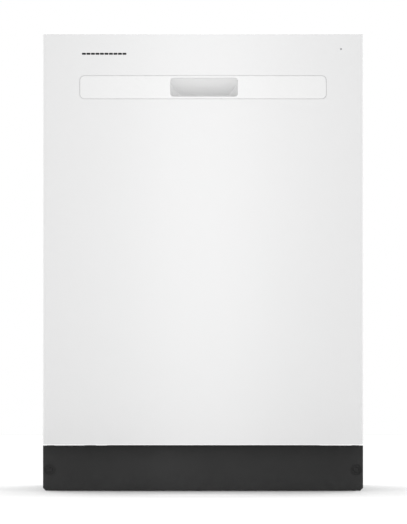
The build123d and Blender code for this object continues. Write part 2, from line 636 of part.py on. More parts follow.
def lower_rack():
    """Welded wire basket with plate prongs, rims and the bent axles for its wheels."""
    top = LOWER_RIM_Z
    wires = basket_wires(LOWER_X, LOWER_Y, LOWER_Z, top - 6, span(-196, 208, 10), LOWER_ALONG)
    gap = WIRE + RIM + WELD
    x = (-LOWER_X - gap, LOWER_X + gap)
    y = (LOWER_Y[0] - gap, LOWER_Y[1] + gap)
    wires += ring(x, y, top - 9, RIM, 22)
    gap = 2 * WIRE + WELD
    x = (-LOWER_X - gap, LOWER_X + gap)
    y = (LOWER_Y[0] - gap, LOWER_Y[1] + gap)
    wires += ring(x, y, 232, WIRE, 22)
    for row_y in (-104, -54, -4, 46, 100, 200):
        shift = 0 if row_y != 100 else 21
        xs = [v + shift for v in TINE_X if v + shift < 200]
        wires += tine_row(xs, row_y, FOLD_Z, TINE)
    hang = LOWER_X + 3 * WIRE + AXLE_R + 2 * WELD
    for wheel_y in WHEEL_Y:
        for side in (-1, 1):
            path = [(side * hang, wheel_y, 262), (side * hang, wheel_y, WHEEL_Z)]
            path += [(side * 272, wheel_y, WHEEL_Z)]
            clip = rod((side * 270.4, wheel_y, WHEEL_Z), (side * 272.5, wheel_y, WHEEL_Z), 5.5)
            axle = rack_wire(path, AXLE_R, 3.5)
            wires += [*axle[:-1], axle[-1] + clip]
    return group(*wires)


def folding_tines():
    """Prong row that folds down flat towards the front."""
    return group(*tine_row(TINE_X, FOLD_Y, FOLD_Z, TINE - 2.2))


def rack_wheel(x, y):
    """A rack wheel with recessed faces, spokes and a bored hub; x is its inner face."""
    wide = (x, x + 10.5) if x > 0 else (x - 10.5, x)
    centre = (y, WHEEL_Z)
    body = rod((wide[0], *centre), (wide[1], *centre), WHEEL_R)
    body = fillet(body.edges(), 2)
    for low, high in ((wide[0] - 1, wide[0] + 3.5), (wide[1] - 3.5, wide[1] + 1)):
        body -= tube((low, *centre), (high, *centre), WHEEL_R - 3.5, 6)
    for i in range(5):
        body += Pos(sum(wide) / 2, *centre) * Rot(72 * i, 0, 0) * Pos(0, 0, 9.5) * Box(9, 2.5, 9)
    return body - rod((wide[0] - 1, *centre), (wide[1] + 1, *centre), AXLE_R + RUNNING)


BASKET_X, BASKET_Y, BASKET_Z = (-186.0, 186.0), (-218.0, -146.0), (177.0, 286.0)
GRIP_Z = (316.0, 326.0)


def silverware_basket():
    """Slotted basket with four compartments and a handle. Its floor, walls and bars are a hair apart."""
    x, y, z = BASKET_X, BASKET_Y, BASKET_Z
    wall = 2.4
    base = z[0] + wall
    columns = [at for at in span(-168, 168, 17) if at != 0]
    slots = [block((at - 4.5, at + 4.5), (y[0] - 1, y[1] + 1), (row - 8.5, row + 8.5))
             for row in span(200, 252, 3) for at in columns]
    grid = [block((at - 6, at + 6), (row - 6, row + 6), (z[0] - 1, base + 1))
            for row in span(-202, -162, 3) for at in columns]
    plan = Plane(origin=(0, sum(y) / 2, z[0])) * RectangleRounded(x[1] - x[0], y[1] - y[0], 2.2)
    outside = extrude(plan, z[1] - z[0])
    long_walls = [(y[0], y[0] + wall), (y[1] - wall, y[1])]
    inner_y = (y[0] + wall + WELD, y[1] - wall - WELD)
    pieces = [block(x, y, (z[0], base - WELD)) - grid]
    pieces += [block(x, side_y, (base, z[1])) - slots for side_y in long_walls]
    dividers = span(x[0] + wall / 2, x[1] - wall / 2, 5)
    pieces += [block((at - wall / 2, at + wall / 2), inner_y, (base, z[1])) for at in dividers]
    pieces = [piece & outside for piece in pieces]
    middle = (sum(y) / 2 - 4, sum(y) / 2 + 4)
    for at in (dividers[1], dividers[3]):
        pieces.append(block((at - 4, at + 4), middle, (z[1] + WELD, GRIP_Z[0] - WELD)))
    grip = block((dividers[1] - 4, dividers[3] + 4), middle, GRIP_Z)
    pieces.append(fillet([e for e in grip.edges().filter_by(Axis.Y) if e.center().Z > sum(GRIP_Z) / 2], 7))
    return group(*pieces)


def upper_rack():
    """Welded wire basket for cups and glasses, with prong rows and rims."""
    top = UPPER_RIM_Z
    along = span(-200, 200, 11)
    wires = basket_wires(UPPER_X, UPPER_Y, UPPER_Z, top - 6, span(-196, 196, 10), along)
    gap = WIRE + RIM + WELD
    x = (-UPPER_X - gap, UPPER_X + gap)
    y = (UPPER_Y[0] - gap, UPPER_Y[1] + gap)
    wires += ring(x, y, top - 9, RIM, 22)
    gap = 2 * WIRE + WELD
    x = (-UPPER_X - gap, UPPER_X + gap)
    y = (UPPER_Y[0] - gap, UPPER_Y[1] + gap)
    wires += ring(x, y, 540, WIRE, 22)
    prong_z = UPPER_Z + 3 * WIRE + 2 * WELD + 2.2
    for row_x in (-160, -40, 40, 160):
        base = rod((row_x, -205, prong_z), (row_x, 205, prong_z), 2.2)
        wires.append(base)
        wires += [prong(row_x, v, prong_z + 2.2 + WELD, 62) for v in span(-190, 190, 11)]
    return group(*wires)


def upper_rack_glides():
    """Nylon glides that hang the upper rack in its rails."""
    rack_side = UPPER_X + WIRE + 2 * RIM + 1
    glides = []
    for y in ((24, 64), (150, 200)):
        slide = block((RAIL_X[0] - 3, RAIL_X[1] - 2.3), y, (RAIL_Z[0] + 2.3, RAIL_Z[1] - 2.3))
        slide = fillet(slide.edges().filter_by(Axis.Z), 3)
        arm = block((rack_side, RAIL_X[0] - 2), (y[0] + 8, y[1] - 8), (553, 567))
        clip = block((UPPER_X + WIRE + 2 * WELD, rack_side + 2), (y[0] + 4, y[1] - 4), (546, 582))
        glides.append(slide + arm + clip)
    return group(*[both(g) for g in glides])


def upper_rails():
    """Two channel rails that slide in the carriers and carry the rack's glides."""
    rail = block(RAIL_X, RAIL_Y, RAIL_Z)
    rail -= block((RAIL_X[0] - 1, RAIL_X[1] - 2), (RAIL_Y[0] + 3, RAIL_Y[1] + 1),
                  (RAIL_Z[0] + 2, RAIL_Z[1] - 2))
    rail = fillet(rail.faces().sort_by(Axis.Y)[0].edges().filter_by(Axis.X), 4)
    return both(rail)


def rail_carriers():
    """Four brackets on the tub walls that guide the rails."""
    carriers = []
    for y in ((-216, -186), (-70, -40)):
        x = (RAIL_X[1] + 0.3, TUB_IN)
        z = (RAIL_Z[0] - 6, RAIL_Z[1] + 6)
        shape = block(x, y, z)
        shape += block((RAIL_X[0] + 4, x[0]), y, (RAIL_Z[1] + 0.4, z[1]))
        shape += block((RAIL_X[0] + 4, x[0]), y, (z[0], RAIL_Z[0] - 0.4))
        carriers.append(both(shape))
    return group(*carriers)


# ================================================================ door
def rounded_skin(offset):
    """The outer form of the door's skin, moved inwards by offset."""
    half, low, high = HALF - offset, DOOR_BOTTOM + offset, DOOR_TOP - offset
    depth = SKIN_DEPTH if offset == 0 else SKIN_DEPTH + 1
    form = block((-half, half), (SKIN_Y + offset, SKIN_Y + depth), (low, high))
    front = [e for e in form.edges().filter_by(Axis.Z) if e.center().Y < SKIN_Y + 5]
    form = fillet(front, 7 - offset)
    for level, radius in ((low, SKIN_EDGE_LOW), (high, SKIN_EDGE_HIGH)):
        ends = [e for e in form.edges() if abs(e.center().Z - level) < 0.01
                and e.center().Y < SKIN_Y + 8 and e.bounding_box().max.Y < SKIN_Y + 10]
        form = fillet(ends, radius - offset)
    return form


def door_panel():
    """Painted steel skin, folded on all four edges, with openings for the insert, vent slots and light."""
    skin = rounded_skin(0) - rounded_skin(SKIN)
    skin -= block((-HALF + SKIN, HALF - SKIN), (SKIN_Y + 12, 0), (DOOR_TOP - 5, DOOR_TOP + 1))
    skin -= block((-HALF + 8, HALF - 8), (SKIN_Y + SKIN_HEM, 0), (DOOR_BOTTOM - 1, DOOR_BOTTOM + 5))
    for side in (-1, 1):
        edge = sorted((side * (HALF - 8.1), side * (HALF + 1)))
        skin -= block(edge, (SKIN_Y + SKIN_HEM, 0), (DOOR_BOTTOM - 1, DOOR_BOTTOM + 4))
    y = (SKIN_Y - 1, SKIN_BACK + 1)
    w, h = INSERT_SIZE[0] / 2 + 0.6, INSERT_SIZE[1] / 2 + 0.6
    skin -= plate((-w, w), y, (INSERT_Z - h, INSERT_Z + h), INSERT_CORNER + 0.6)
    slots = [plate((VENT_LEFT + i * VENT_PITCH, VENT_LEFT + i * VENT_PITCH + VENT_SLOT[0]), y,
                   (VENT_Z - VENT_SLOT[1] / 2, VENT_Z + VENT_SLOT[1] / 2), 0.8) for i in range(VENT_COUNT)]
    skin -= slots
    return skin - rod((LIGHT_X, y[0], LIGHT_Z), (LIGHT_X, y[1], LIGHT_Z), 1.7)


def door_liner():
    """Moulded inner door: a tray that closes the skin, dished in the middle, with openings."""
    x = (-LINER_HALF, LINER_HALF)
    tray = block(x, (LINER_FRONT, LINER_Y), (LINER_BOTTOM, LINER_TOP))
    tray = fillet([e for e in tray.edges() if abs(e.center().Y - LINER_Y) < 0.01], 4)
    w = LINER_WALL
    tray -= block((x[0] + w, x[1] - w), (LINER_FRONT - 1, LINER_Y - w), (LINER_BOTTOM + w, LINER_TOP - w))
    low, high = RECESS_Z
    floor_y = LINER_Y - RECESS_DEPTH
    dish = plate((-RECESS_HALF - w, RECESS_HALF + w), (floor_y - w, LINER_Y - w), (low - w, high + w), 32 + w)
    hollow = plate((-RECESS_HALF, RECESS_HALF), (floor_y, LINER_Y + 1), (low, high), 32)
    hollow = fillet(hollow.faces().sort_by(Axis.Y)[0].edges(), 8)
    tray = tray + dish - hollow
    for side in (-1, 1):
        notch = sorted((side * 281.0, side * (HALF + 5)))
        tray -= block(notch, (LINER_FRONT - 2, LINER_Y + 2), (LINER_BOTTOM - 2, 152))
    tray -= plate((-113, 113), (floor_y - 8, floor_y + 5), (417, 553), 12)
    tray -= rod((VENT_CAP[0], floor_y - 8, VENT_CAP[1]), (VENT_CAP[0], floor_y + 4, VENT_CAP[1]), 20)
    tray -= block((-17, 17), (LINER_Y - 5, LINER_Y + 2), (839, 849))
    for button_x in BUTTON_X:
        tray -= rod((button_x, BUTTON_Y, LINER_TOP - 5), (button_x, BUTTON_Y, LINER_TOP + 1), 2.8)
    return tray


VENT_CAP = (-190.0, 770.0)


def door_insulation():
    """Fibre pad between the skin and the liner."""
    pad = block((-276, 276), (SKIN_BACK + 1.5, LINER_Y - RECESS_DEPTH - LINER_WALL - 4), (130, 725))
    return pad - block((-120, 120), (-400, 0), (405, 565))


def handle_insert():
    """White insert across the door with the finger pocket moulded into it."""
    w, h = INSERT_SIZE[0] / 2, INSERT_SIZE[1] / 2
    face = plate((-w, w), (FRONT, SKIN_BACK + 0.1), (INSERT_Z - h, INSERT_Z + h), INSERT_CORNER)
    face = fillet(face.faces().sort_by(Axis.Y)[0].edges(), 0.7)
    rim = plate((-w - 5, w + 5), (SKIN_BACK + 0.1, SKIN_BACK + 2.4), (INSERT_Z - h - 4, INSERT_Z + h + 4), 10)
    insert = (face + rim + pocket(2.4)) - pocket(0)
    half_x, half_z = POCKET_SIZE[0] / 2 + 1, POCKET_SIZE[1] / 2 + 1
    front_edges = [e for e in insert.edges() if abs(e.center().Y - FRONT) < 0.01]
    mouth = [e for e in front_edges
             if abs(e.center().X - POCKET_X) < half_x and abs(e.center().Z - INSERT_Z) < half_z]
    return fillet(mouth, 1.4)


def pocket(grow):
    """The finger pocket: its ceiling sweeps back and down into a channel behind the lower lip."""
    half = POCKET_SIZE[0] / 2 + grow
    top = INSERT_Z + POCKET_SIZE[1] / 2 + grow
    low = INSERT_Z - POCKET_SIZE[1] / 2 - grow
    front = FRONT - 1 if grow == 0 else FRONT + 0.8
    back = FRONT + POCKET_DEPTH + grow
    hook = low - 12
    mouth = FRONT + 4
    outline = Polyline((0, mouth, low), (0, mouth, top))
    outline += ThreePointArc((0, mouth, top), (0, back - 12, top - 14), (0, back, top - 33))
    outline += Line((0, back, top - 33), (0, back, hook + 7))
    outline += ThreePointArc((0, back, hook + 7), (0, back - 2.5, hook + 2), (0, back - 8, hook))
    outline += Polyline((0, back - 8, hook), (0, mouth + 9 - grow, hook), (0, mouth + 4 - grow, low),
                        (0, mouth, low))
    body = extrude(make_face(outline), half, both=True, dir=(1, 0, 0))
    body &= plate((-half, half), (mouth, back), (hook, top), 6 + grow)
    run = 2 * POCKET_DEPTH
    plan = Plane(origin=(0, back - run / 2, hook)) * RectangleRounded(2 * half, run, POCKET_PLAN)
    body &= extrude(plan, top - hook)
    return Pos(POCKET_X, 0, 0) * (body + plate((-half, half), (front, mouth), (low, top), 6 + grow))


def control_strip():
    """Cap along the door's top edge that holds the buttons."""
    x = (-LINER_HALF + 1, LINER_HALF - 1)
    y = (SKIN_Y + 12.4, LINER_Y - 0.5)
    strip = block(x, y, (LINER_TOP + 0.1, DOOR_TOP))
    lengthwise = strip.edges().filter_by(Axis.X)
    strip = fillet([e for e in lengthwise if e.center().Y > -260 and e.center().Z > 860], 3)
    strip -= block((x[0] + 2, x[1] - 2), (y[0] + 2, y[1] - 2), (LINER_TOP - 1, DOOR_TOP - 3))
    w, d = BUTTON_SIZE[0] / 2 + 0.4, BUTTON_SIZE[1] / 2 + 0.4
    for bx in BUTTON_X:
        hole = Plane(origin=(bx, BUTTON_Y, DOOR_TOP - 6)) * RectangleRounded(2 * w, 2 * d, 2.4)
        strip -= extrude(hole, 8)
    return strip


def button(x):
    """A push button with a shallow finger dish and a stem."""
    w, d = BUTTON_SIZE
    cap = extrude(Plane(origin=(x, BUTTON_Y, DOOR_TOP - 4)) * RectangleRounded(w, d, 2), 4.8)
    cap = fillet(cap.edges().group_by(Axis.Z)[-1], 0.8)
    cap -= Pos(x, BUTTON_Y, DOOR_TOP + 30.4) * Sphere(30)
    return cap + rod((x, BUTTON_Y, DOOR_TOP - 8.5), (x, BUTTON_Y, DOOR_TOP - 3), 3)


def control_module():
    """Housing of the electronic control, under the buttons."""
    box = block((42, 284), (-298, -262), (822, 848))
    box = fillet(box.edges().filter_by(Axis.Z), 4)
    for x in BUTTON_X:
        box += rod((x, BUTTON_Y, 848), (x, BUTTON_Y, 854), 2.2)
    return box - block((60, 266), (-290, -268), (816, 830))


def status_light():
    """Light pipe that shows through the door's face."""
    pipe = rod((LIGHT_X, SKIN_Y, LIGHT_Z), (LIGHT_X, -298.2, LIGHT_Z), 1.5)
    return pipe + rod((LIGHT_X, -302, LIGHT_Z), (LIGHT_X, -298.2, LIGHT_Z), 3)


def vent_duct():
    """Black duct from the round port in the liner up to the slots in the skin, and the port's cap."""
    upper = block((-236, -138), (SKIN_BACK + 0.1, -276.2), (794, 842))
    lower = block((-236, -138), (-302, -276.2), (742, 796))
    duct = upper + lower
    duct -= block((-234.5, -139.5), (SKIN_BACK + 1.6, -277.7), (795.5, 840.5))
    duct -= block((-234.5, -139.5), (-300.5, -277.7), (743.5, 800))
    duct -= block((-231, -142), (SKIN_BACK - 1, SKIN_BACK + 4), (VENT_Z - 4, VENT_Z + 4))
    x, z = VENT_CAP
    duct -= rod((x, -280, z), (x, -270, z), 18)
    duct -= rod((-240, *FLAP_AXIS), (-130, *FLAP_AXIS), 1.5 + RUNNING)
    floor_y = LINER_Y - RECESS_DEPTH
    cap = rod((x, floor_y + WELD, z), (x, floor_y + 6, z), 27)
    cap = fillet(cap.faces().sort_by(Axis.Y)[-1].edges(), 2.5)
    cap += rod((x, floor_y - 3.5, z), (x, floor_y + 1, z), 19.5)
    cap -= rod((x, floor_y - 5, z), (x, floor_y + 3, z), 17)
    for dz in (-12, -6, 0, 6, 12):
        half = math.sqrt(19.5**2 - dz**2) - 3
        cap -= block((x - half, x + half), (floor_y, floor_y + 8), (z + dz - 1.5, z + dz + 1.5))
    return group(duct, cap)


FLAP_AXIS = (-279.6, 797.5)


def vent_flap():
    """Flap that shuts the duct below the slots, on its hinge rod."""
    y, z = FLAP_AXIS
    leaf = block((-233.5, -140.5), (-300, y), (z - 0.8, z + 0.8))
    return leaf + rod((-236.5, y, z), (-137.5, y, z), 1.5)


def dispenser():
    """Detergent dispenser: bezel with the main cup, a pre-wash cup, the rinse-aid seat and a latch."""
    floor_y = LINER_Y - RECESS_DEPTH
    bezel = plate((-118, 118), (floor_y + WELD, floor_y + 3), (412, 558), 14)
    bezel = fillet(bezel.faces().sort_by(Axis.Y)[-1].edges(), 1.5)
    body = bezel + plate((-111, 111), (-305, floor_y + 1), (420, 550), 10)
    cup = plate(CUP_X, (-301, -255), CUP_Z, 10)
    cup = fillet(cup.faces().sort_by(Axis.Y)[0].edges(), 7)
    body -= cup
    body -= rod((62, floor_y - 2, 515), (62, floor_y + 5, 515), 23)
    body -= rod((62, -300, 515), (62, floor_y + 5, 515), 11 + RUNNING)
    body -= plate((38, 86), (floor_y - 3, floor_y + 5), (436, 466), 6)
    body += block((-105.4, 10.4), (floor_y + 1, floor_y + 4.6), (416.5, 418.4))
    for x in ((-105.4, -102.3), (7.3, 10.4)):
        body += block(x, (floor_y + 1, floor_y + 6.6), (416.5, 552))
    return body


CUP_X = (-97.0, 2.0)
CUP_Z = (485.0, 545.0)


def dispenser_lid():
    """Lid that slides down off the detergent cup, with a ribbed finger pad."""
    floor_y = LINER_Y - RECESS_DEPTH
    lid = plate((CUP_X[0] - 5, CUP_X[1] + 5), (floor_y + 3.2, floor_y + 6.6), (CUP_Z[0] - 5, CUP_Z[1] + 6), 6)
    lid = fillet(lid.faces().sort_by(Axis.Y)[-1].edges(), 1.4)
    for dz in (0, 4, 8):
        lid += block((-66, -30), (floor_y + 6, floor_y + 7.8), (CUP_Z[0] + 8 + dz, CUP_Z[0] + 10 + dz))
    return lid


def rinse_aid_cap():
    """Quarter-turn cap of the rinse-aid tank with a raised grip."""
    floor_y = LINER_Y - RECESS_DEPTH
    cap = rod((62, floor_y - 1.9, 515), (62, floor_y + 5, 515), 22)
    cap = fillet(cap.faces().sort_by(Axis.Y)[-1].edges(), 2)
    cap += plate((57.5, 66.5), (floor_y + 4, floor_y + 10), (496, 534), 4)
    return cap + rod((62, floor_y - 12, 515), (62, floor_y, 515), 11)


LATCH_AXIS = (-268.0, 830.0)


def latch_body():
    """Latch housing in the door's top edge, open towards the strike."""
    box = block((-30, 30), (-298, LINER_Y - 3), (822, 849))
    box -= block((-16.5, 16.5), (-291, LINER_Y), (839, 850))
    box -= block((-4, 4), (-287, LINER_Y - 4), (820, 850))
    y, z = LATCH_AXIS
    return box + rod((-4.5, y, z), (4.5, y, z), 2.5)


def latch_hook():
    """Sprung claw, shown released; it swings up into the strike's loop."""
    y, z = LATCH_AXIS
    arm = profile_x([(y + 6, z - 5), (y + 6, z + 5), (y - 6, z + 5), (y - 8, z + 9), (y - 13, z + 9),
                     (y - 14, z - 5)], (-3, 3))
    return arm - rod((-4, y, z), (4, y, z), 2.5 + RUNNING)


def hinge_arms():
    """Two steel arms inside the door with the hinge bore and the lever that the springs pull."""
    x = (286.0, 289.0)
    y, z = HINGE_Y, HINGE_Z
    arm = block(x, (y - 9, y + 9), (z, 330)) + rod((x[0], y, z), (x[1], y, z), 11)
    arm += block(x, (y, y + 30), (z - 6, z + 6)) + rod((x[0], y + 30, z), (x[1], y + 30, z), 6)
    arm -= rod((x[0] - 1, y, z), (x[1] + 1, y, z), 4 + RUNNING)
    arm -= rod((x[0] - 1, y + 30, z), (x[1] + 1, y + 30, z), 2.5)
    for hole_z in (200, 300):
        arm -= rod((x[0] - 1, y, hole_z), (x[1] + 1, y, hole_z), 2.6)
    return both(arm)


def hinge_pins():
    """Two pins through the frame ears that the door turns on."""
    pin = rod((283, HINGE_Y, HINGE_Z), (FRAME_IN + SHEET, HINGE_Y, HINGE_Z), 4)
    head = rod((FRAME_IN + SHEET, HINGE_Y, HINGE_Z), (FRAME_IN + SHEET + 3, HINGE_Y, HINGE_Z), 7)
    return both(pin + fillet(head.faces().sort_by(Axis.X)[-1].edges(), 1.5))


SPRING_X = 287.5
SPRING_FRONT = (-150.0, 82.0)
SPRING_BACK = (-30.0, 62.0)


def door_springs():
    """Two extension springs, as closed tubes with their end hooks."""
    front, back = (SPRING_X, *SPRING_FRONT), (SPRING_X, *SPRING_BACK)
    coil = tube(front, back, 5.2, 3.2)
    run = (Vector(*back) - Vector(*front)).normalized()
    hook = rod(Vector(*back), Vector(*back) + run * 14, 1.2)
    stub = rod(Vector(*front) - run * 8, Vector(*front), 1.2)
    coil += rod(Vector(*back) - run * 2, Vector(*back), 5.2)
    coil += rod(Vector(*front), Vector(*front) + run * 2, 5.2)
    return both(coil + hook + stub)


def spring_straps():
    """Flexible straps from the hinge levers to the springs."""
    start = Vector(SPRING_X, HINGE_Y + 37, HINGE_Z - 2)
    run = Vector(SPRING_X, *SPRING_BACK) - Vector(SPRING_X, *SPRING_FRONT)
    end = Vector(SPRING_X, *SPRING_FRONT) - run.normalized() * 9
    return both(rod(start, end, 1.4))


# ================================================================ nodes
NODES = [
    tub, tub_seals, insulation_wrap, side_frames, crossmembers, kick_plate, counter_brackets, latch_strike,
    sump, filter_plate, filter_cylinder, heater_element, feed_tube, lower_spray_arm, upper_spray_arm,
    upper_arm_feed, circulation_pump, pump_impeller, pump_hoses, drain_pump, inlet_valve, junction_box,
    float_dome,
    lower_rack, folding_tines, silverware_basket, upper_rack, upper_rack_glides, upper_rails, rail_carriers,
    door_panel, door_liner, door_insulation, handle_insert, control_strip, control_module, status_light,
    vent_duct, vent_flap, dispenser, dispenser_lid, rinse_aid_cap, latch_body, latch_hook,
    hinge_arms, hinge_pins, door_springs, spring_straps,
]
SIDES = {"left": -1, "right": 1}
ENDS = {"front": 0, "rear": 1}


def main():
    os.makedirs("parts", exist_ok=True)
    made = {make.__name__: make() for make in NODES}
    for side, sign in SIDES.items():
        for end, row in ENDS.items():
            made[f"leg_{end}_{side}"] = levelling_leg(sign * LEG_X, LEG_Y[row])
            made[f"wheel_{end}_{side}"] = rack_wheel(sign * WHEEL_INNER, WHEEL_Y[row])
    for name, x in zip(BUTTON_NAMES, BUTTON_X):
        made[name] = button(x)
    for name, shape in made.items():
        export_step(group(shape), f"parts/{name}.step")


main()
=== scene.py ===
"""A built-in dishwasher seen square from the front: finishes, soft parts, fixings, light and camera.

Metres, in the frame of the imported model: +Z up, -Y towards the front, origin on the floor under the middle.
"""

import json
import math

import bmesh
import bpy
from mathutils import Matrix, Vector, noise


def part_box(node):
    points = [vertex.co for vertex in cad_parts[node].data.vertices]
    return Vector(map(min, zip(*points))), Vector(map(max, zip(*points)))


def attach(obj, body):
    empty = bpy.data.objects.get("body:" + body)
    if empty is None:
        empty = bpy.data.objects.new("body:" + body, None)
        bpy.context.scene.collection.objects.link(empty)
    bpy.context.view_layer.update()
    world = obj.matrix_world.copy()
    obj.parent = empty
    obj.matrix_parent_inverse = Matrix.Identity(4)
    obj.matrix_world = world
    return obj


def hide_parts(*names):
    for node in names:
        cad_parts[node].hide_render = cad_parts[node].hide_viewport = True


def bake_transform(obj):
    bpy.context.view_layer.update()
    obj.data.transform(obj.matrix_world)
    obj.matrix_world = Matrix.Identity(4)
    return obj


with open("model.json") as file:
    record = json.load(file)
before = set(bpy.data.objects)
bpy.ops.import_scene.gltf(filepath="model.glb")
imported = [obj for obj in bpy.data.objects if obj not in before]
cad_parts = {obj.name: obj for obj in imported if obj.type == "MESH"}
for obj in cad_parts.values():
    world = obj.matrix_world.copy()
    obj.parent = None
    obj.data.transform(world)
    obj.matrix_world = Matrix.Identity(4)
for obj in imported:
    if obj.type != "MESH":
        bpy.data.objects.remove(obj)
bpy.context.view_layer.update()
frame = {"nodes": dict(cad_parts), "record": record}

MM = 0.001

# ---------------------------------------------------------------- camera and light
VIEW_HEIGHT = 0.9893  # metres from the top to the bottom of the view, at the door's face
VIEW_CENTRE = (0.0009, 0.4333)  # x and z that the camera looks at
CAMERA_DISTANCE = 20.0
SENSOR = 36.0
SUN_STRENGTH = 2.9
SUN_ANGLE = math.radians(30)  # the sun's width, which softens the shadow
SUN_TILT = math.radians(24)  # how far its light leans from straight down towards the front
FLOOR_HALF = 6.0  # half the floor's width

# ---------------------------------------------------------------- places in the frame
DOOR_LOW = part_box("door_panel")[0]
INSERT_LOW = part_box("handle_insert")[0]
LINER_LOW, LINER_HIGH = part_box("door_liner")
WRAP_LOW, WRAP_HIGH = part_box("insulation_wrap")


# ================================================================ shader helpers
COAT_ROUGHNESS = 0.12
WAVE_SCALE = 0.314  # a wave texture's scale times the distance between its bands


def add(tree, kind, inputs=None, **settings):
    """A shader node, with its settings and its inputs, which are values or the outputs of other nodes."""
    made = tree.nodes.new("ShaderNode" + kind)
    for key, value in settings.items():
        setattr(made, key, value)
    for key, value in (inputs or {}).items():
        if isinstance(value, bpy.types.NodeSocket):
            tree.links.new(value, made.inputs[key])
        else:
            made.inputs[key].default_value = value
    return made


def tone(colour, factor):
    """A colour made lighter or darker, with its alpha."""
    return (*[min(1.0, c * factor) for c in colour], 1.0)


class Surface:
    """A Principled material whose colour and roughness drift, with a fine grain in its normal."""

    def __init__(self, name, colour, roughness, metallic=0.0, drift=0.05, patch=18.0, grain=0.12,
                 grain_scale=1400.0, depth=0.0002, stretch=(1.0, 1.0, 1.0), coat=0.0, polish=0.05):
        self.material = bpy.data.materials.new(name)
        self.material.use_nodes = True
        self.tree = self.material.node_tree
        self.shader = self.tree.nodes["Principled BSDF"]
        self.place = add(self.tree, "TexCoord").outputs["Object"]
        self.grain_place = add(self.tree, "Mapping", {"Vector": self.place, "Scale": stretch}).outputs[0]
        self.broad = self.noise(patch, 5.0)
        fine = self.noise(grain_scale, 3.0, self.grain_place)
        self.colour = add(self.tree, "MixRGB", {
            "Fac": self.broad, "Color1": tone(colour, 1 - drift), "Color2": tone(colour, 1 + drift),
        }).outputs[0]
        self.roughness = self.spread(self.broad, roughness - polish, roughness + polish)
        relief = {"Height": fine, "Strength": grain, "Distance": depth}
        self.normal = add(self.tree, "Bump", relief).outputs[0]
        self.shader.inputs["Metallic"].default_value = metallic
        self.shader.inputs["Coat Weight"].default_value = coat
        self.shader.inputs["Coat Roughness"].default_value = COAT_ROUGHNESS

    def noise(self, scale, detail, place=None):
        inputs = {"Vector": place or self.place, "Scale": scale, "Detail": detail}
        return add(self.tree, "TexNoise", inputs).outputs["Fac"]

    def spread(self, value, low, high, start=0.3, stop=0.7):
        """A value between start and stop, mapped to low and high."""
        inputs = {"Value": value, "From Min": start, "From Max": stop, "To Min": low, "To Max": high}
        return add(self.tree, "MapRange", inputs).outputs[0]

    def paint(self, mask, colour):
        """Another colour where the mask is 1."""
        inputs = {"Fac": mask, "Color1": self.colour, "Color2": (*colour, 1.0)}
        self.colour = add(self.tree, "MixRGB", inputs).outputs[0]
        return self

    def roughen(self, mask, roughness):
        """Another roughness where the mask is 1."""
        inputs = {"Factor": mask, "A": self.roughness, "B": roughness}
        self.roughness = add(self.tree, "Mix", inputs).outputs[0]
        return self

    def product(self, a, b):
        return add(self.tree, "Math", {0: a, 1: b}, operation="MULTIPLY").outputs[0]

    def height(self, low, high):
        """1 below the height low, fading to 0 at the height high."""
        z = add(self.tree, "SeparateXYZ", {"Vector": self.place}).outputs["Z"]
        return self.spread(z, 1.0, 0.0, low, high)

    def behind(self, low, high):
        """0 in front of the depth low, rising to 1 behind the depth high."""
        y = add(self.tree, "SeparateXYZ", {"Vector": self.place}).outputs["Y"]
        return self.spread(y, 0.0, 1.0, low, high)

    def dust(self, low, high, colour, amount=0.5):
        """Dust and scuffs that gather below a height."""
        patches = self.spread(self.noise(55.0, 8.0), 0.0, amount, 0.42, 0.68)
        mask = self.product(self.height(low, high), patches)
        return self.paint(mask, colour).roughen(mask, 0.85)

    def speckle(self, scale, size, colour):
        """Small flecks."""
        cell = add(self.tree, "TexVoronoi", {"Vector": self.place, "Scale": scale}).outputs["Distance"]
        return self.paint(self.spread(cell, 0.8, 0.0, size * 0.6, size), colour)

    def emboss(self, height, strength, depth):
        """One more layer of relief."""
        inputs = {"Height": height, "Strength": strength, "Distance": depth, "Normal": self.normal}
        self.normal = add(self.tree, "Bump", inputs).outputs[0]
        return self

    def bands(self, pitch, direction, strength, depth):
        """Even ridges, such as a screw thread or the ply of a cord."""
        inputs = {"Vector": self.place, "Scale": WAVE_SCALE / pitch}
        wave = add(self.tree, "TexWave", inputs, bands_direction=direction).outputs["Fac"]
        return self.emboss(wave, strength, depth)

    def finish(self):
        sockets = {"Base Color": self.colour, "Roughness": self.roughness, "Normal": self.normal}
        for name, value in sockets.items():
            self.tree.links.new(value, self.shader.inputs[name])
        return self.material


# ================================================================ finishes
def door_white():
    """Baked enamel: nearly flat white with a faint orange-peel, and a painted highlight along its rolled
    lower hem.
    """
    made = Surface("door_white", (0.735, 0.735, 0.736), 0.34, drift=0.008, patch=5.0, grain=0.05,
                   grain_scale=420.0, depth=0.0004, polish=0.03)
    hem_highlight_top = DOOR_LOW.z + 2.6 * MM
    fade = 0.6 * MM
    # painted highlight: the lowest 2.6 mm of the hem is painted near-white, standing for light caught by the
    # rounded lip
    made.paint(made.height(hem_highlight_top - fade, hem_highlight_top), (0.93, 0.93, 0.93))
    return made.finish()


def insert_white():
    """Moulded gloss plastic, a little brighter than the enamel, with painted light inside the pocket that
    lightens its shaded hollow.
    """
    made = Surface("insert_white", (0.76, 0.76, 0.76), 0.3, drift=0.008, grain=0.04, grain_scale=2200.0,
                   polish=0.03)
    pocket = made.behind(INSERT_LOW.y + 3 * MM, INSERT_LOW.y + 7 * MM)
    # painted light: the deep part of the pocket is painted lighter, in place of the light that its shade
    # takes away
    made.paint(pocket, (0.815, 0.815, 0.815))
    return made.finish()


def kick_black():
    """Textured black paint with floor dust along its lower edge."""
    made = Surface("kick_black", (0.01, 0.01, 0.01), 0.5, drift=0.12, patch=9.0, grain=0.35,
                   grain_scale=1900.0, depth=0.0003, polish=0.06)
    made.shader.inputs["Specular IOR Level"].default_value = 0.44
    return made.dust(0.0, 45 * MM, (0.04, 0.04, 0.04), 0.4).finish()


